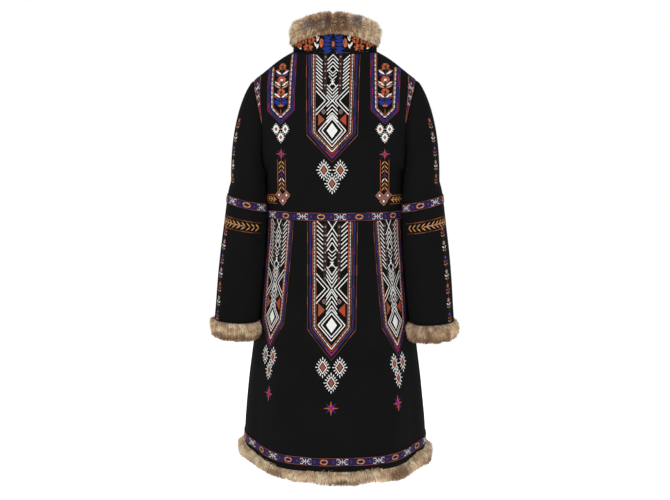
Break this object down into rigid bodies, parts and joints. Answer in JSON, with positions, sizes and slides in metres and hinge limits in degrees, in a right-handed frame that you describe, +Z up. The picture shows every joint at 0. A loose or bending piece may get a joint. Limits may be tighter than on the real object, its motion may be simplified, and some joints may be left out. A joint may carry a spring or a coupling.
{
  "type": "embroidered coat",
  "caption": "Knee-length dark wool coat, filled out as worn, with stand collar, long sleeves, embroidered back and tapes, and fur at collar, cuffs and hem.",
  "frame": {"origin": "middle of the neck opening at the height where the coat bears on the wearer's shoulders", "axes": "+Z up; the wearer faces +Y, so the embroidered back faces -Y; +X is the wearer's right"},
  "size_m": [0.564, 0.3496, 1.0411],
  "materials": {
    "wool": "matte near-black brushed wool coating with a short soft nap",
    "fur": "natural rabbit-like fur, cream and tan mottled with brown and grey, tips darker",
    "tape": "woven navy and violet tape with satin-stitch ornament",
    "thread": "satin-stitched rayon embroidery thread, white, rust, gold, red, blue, violet and magenta"
  },
  "bodies": {
    "root": {"back": "wool", "front_right": "wool", "front_left": "wool", "sleeve_right": "wool", "sleeve_left": "wool", "collar_stand": "wool", "collar_fur": "fur", "cuff_fur_right": "fur", "cuff_fur_left": "fur", "hem_fur": "fur", "waist_tape": "tape", "hem_tape": "tape", "sleeve_tape_right": "tape", "sleeve_tape_left": "tape", "armhole_tape_right": "tape", "armhole_tape_left": "tape"}
  },
  "joints": []
}
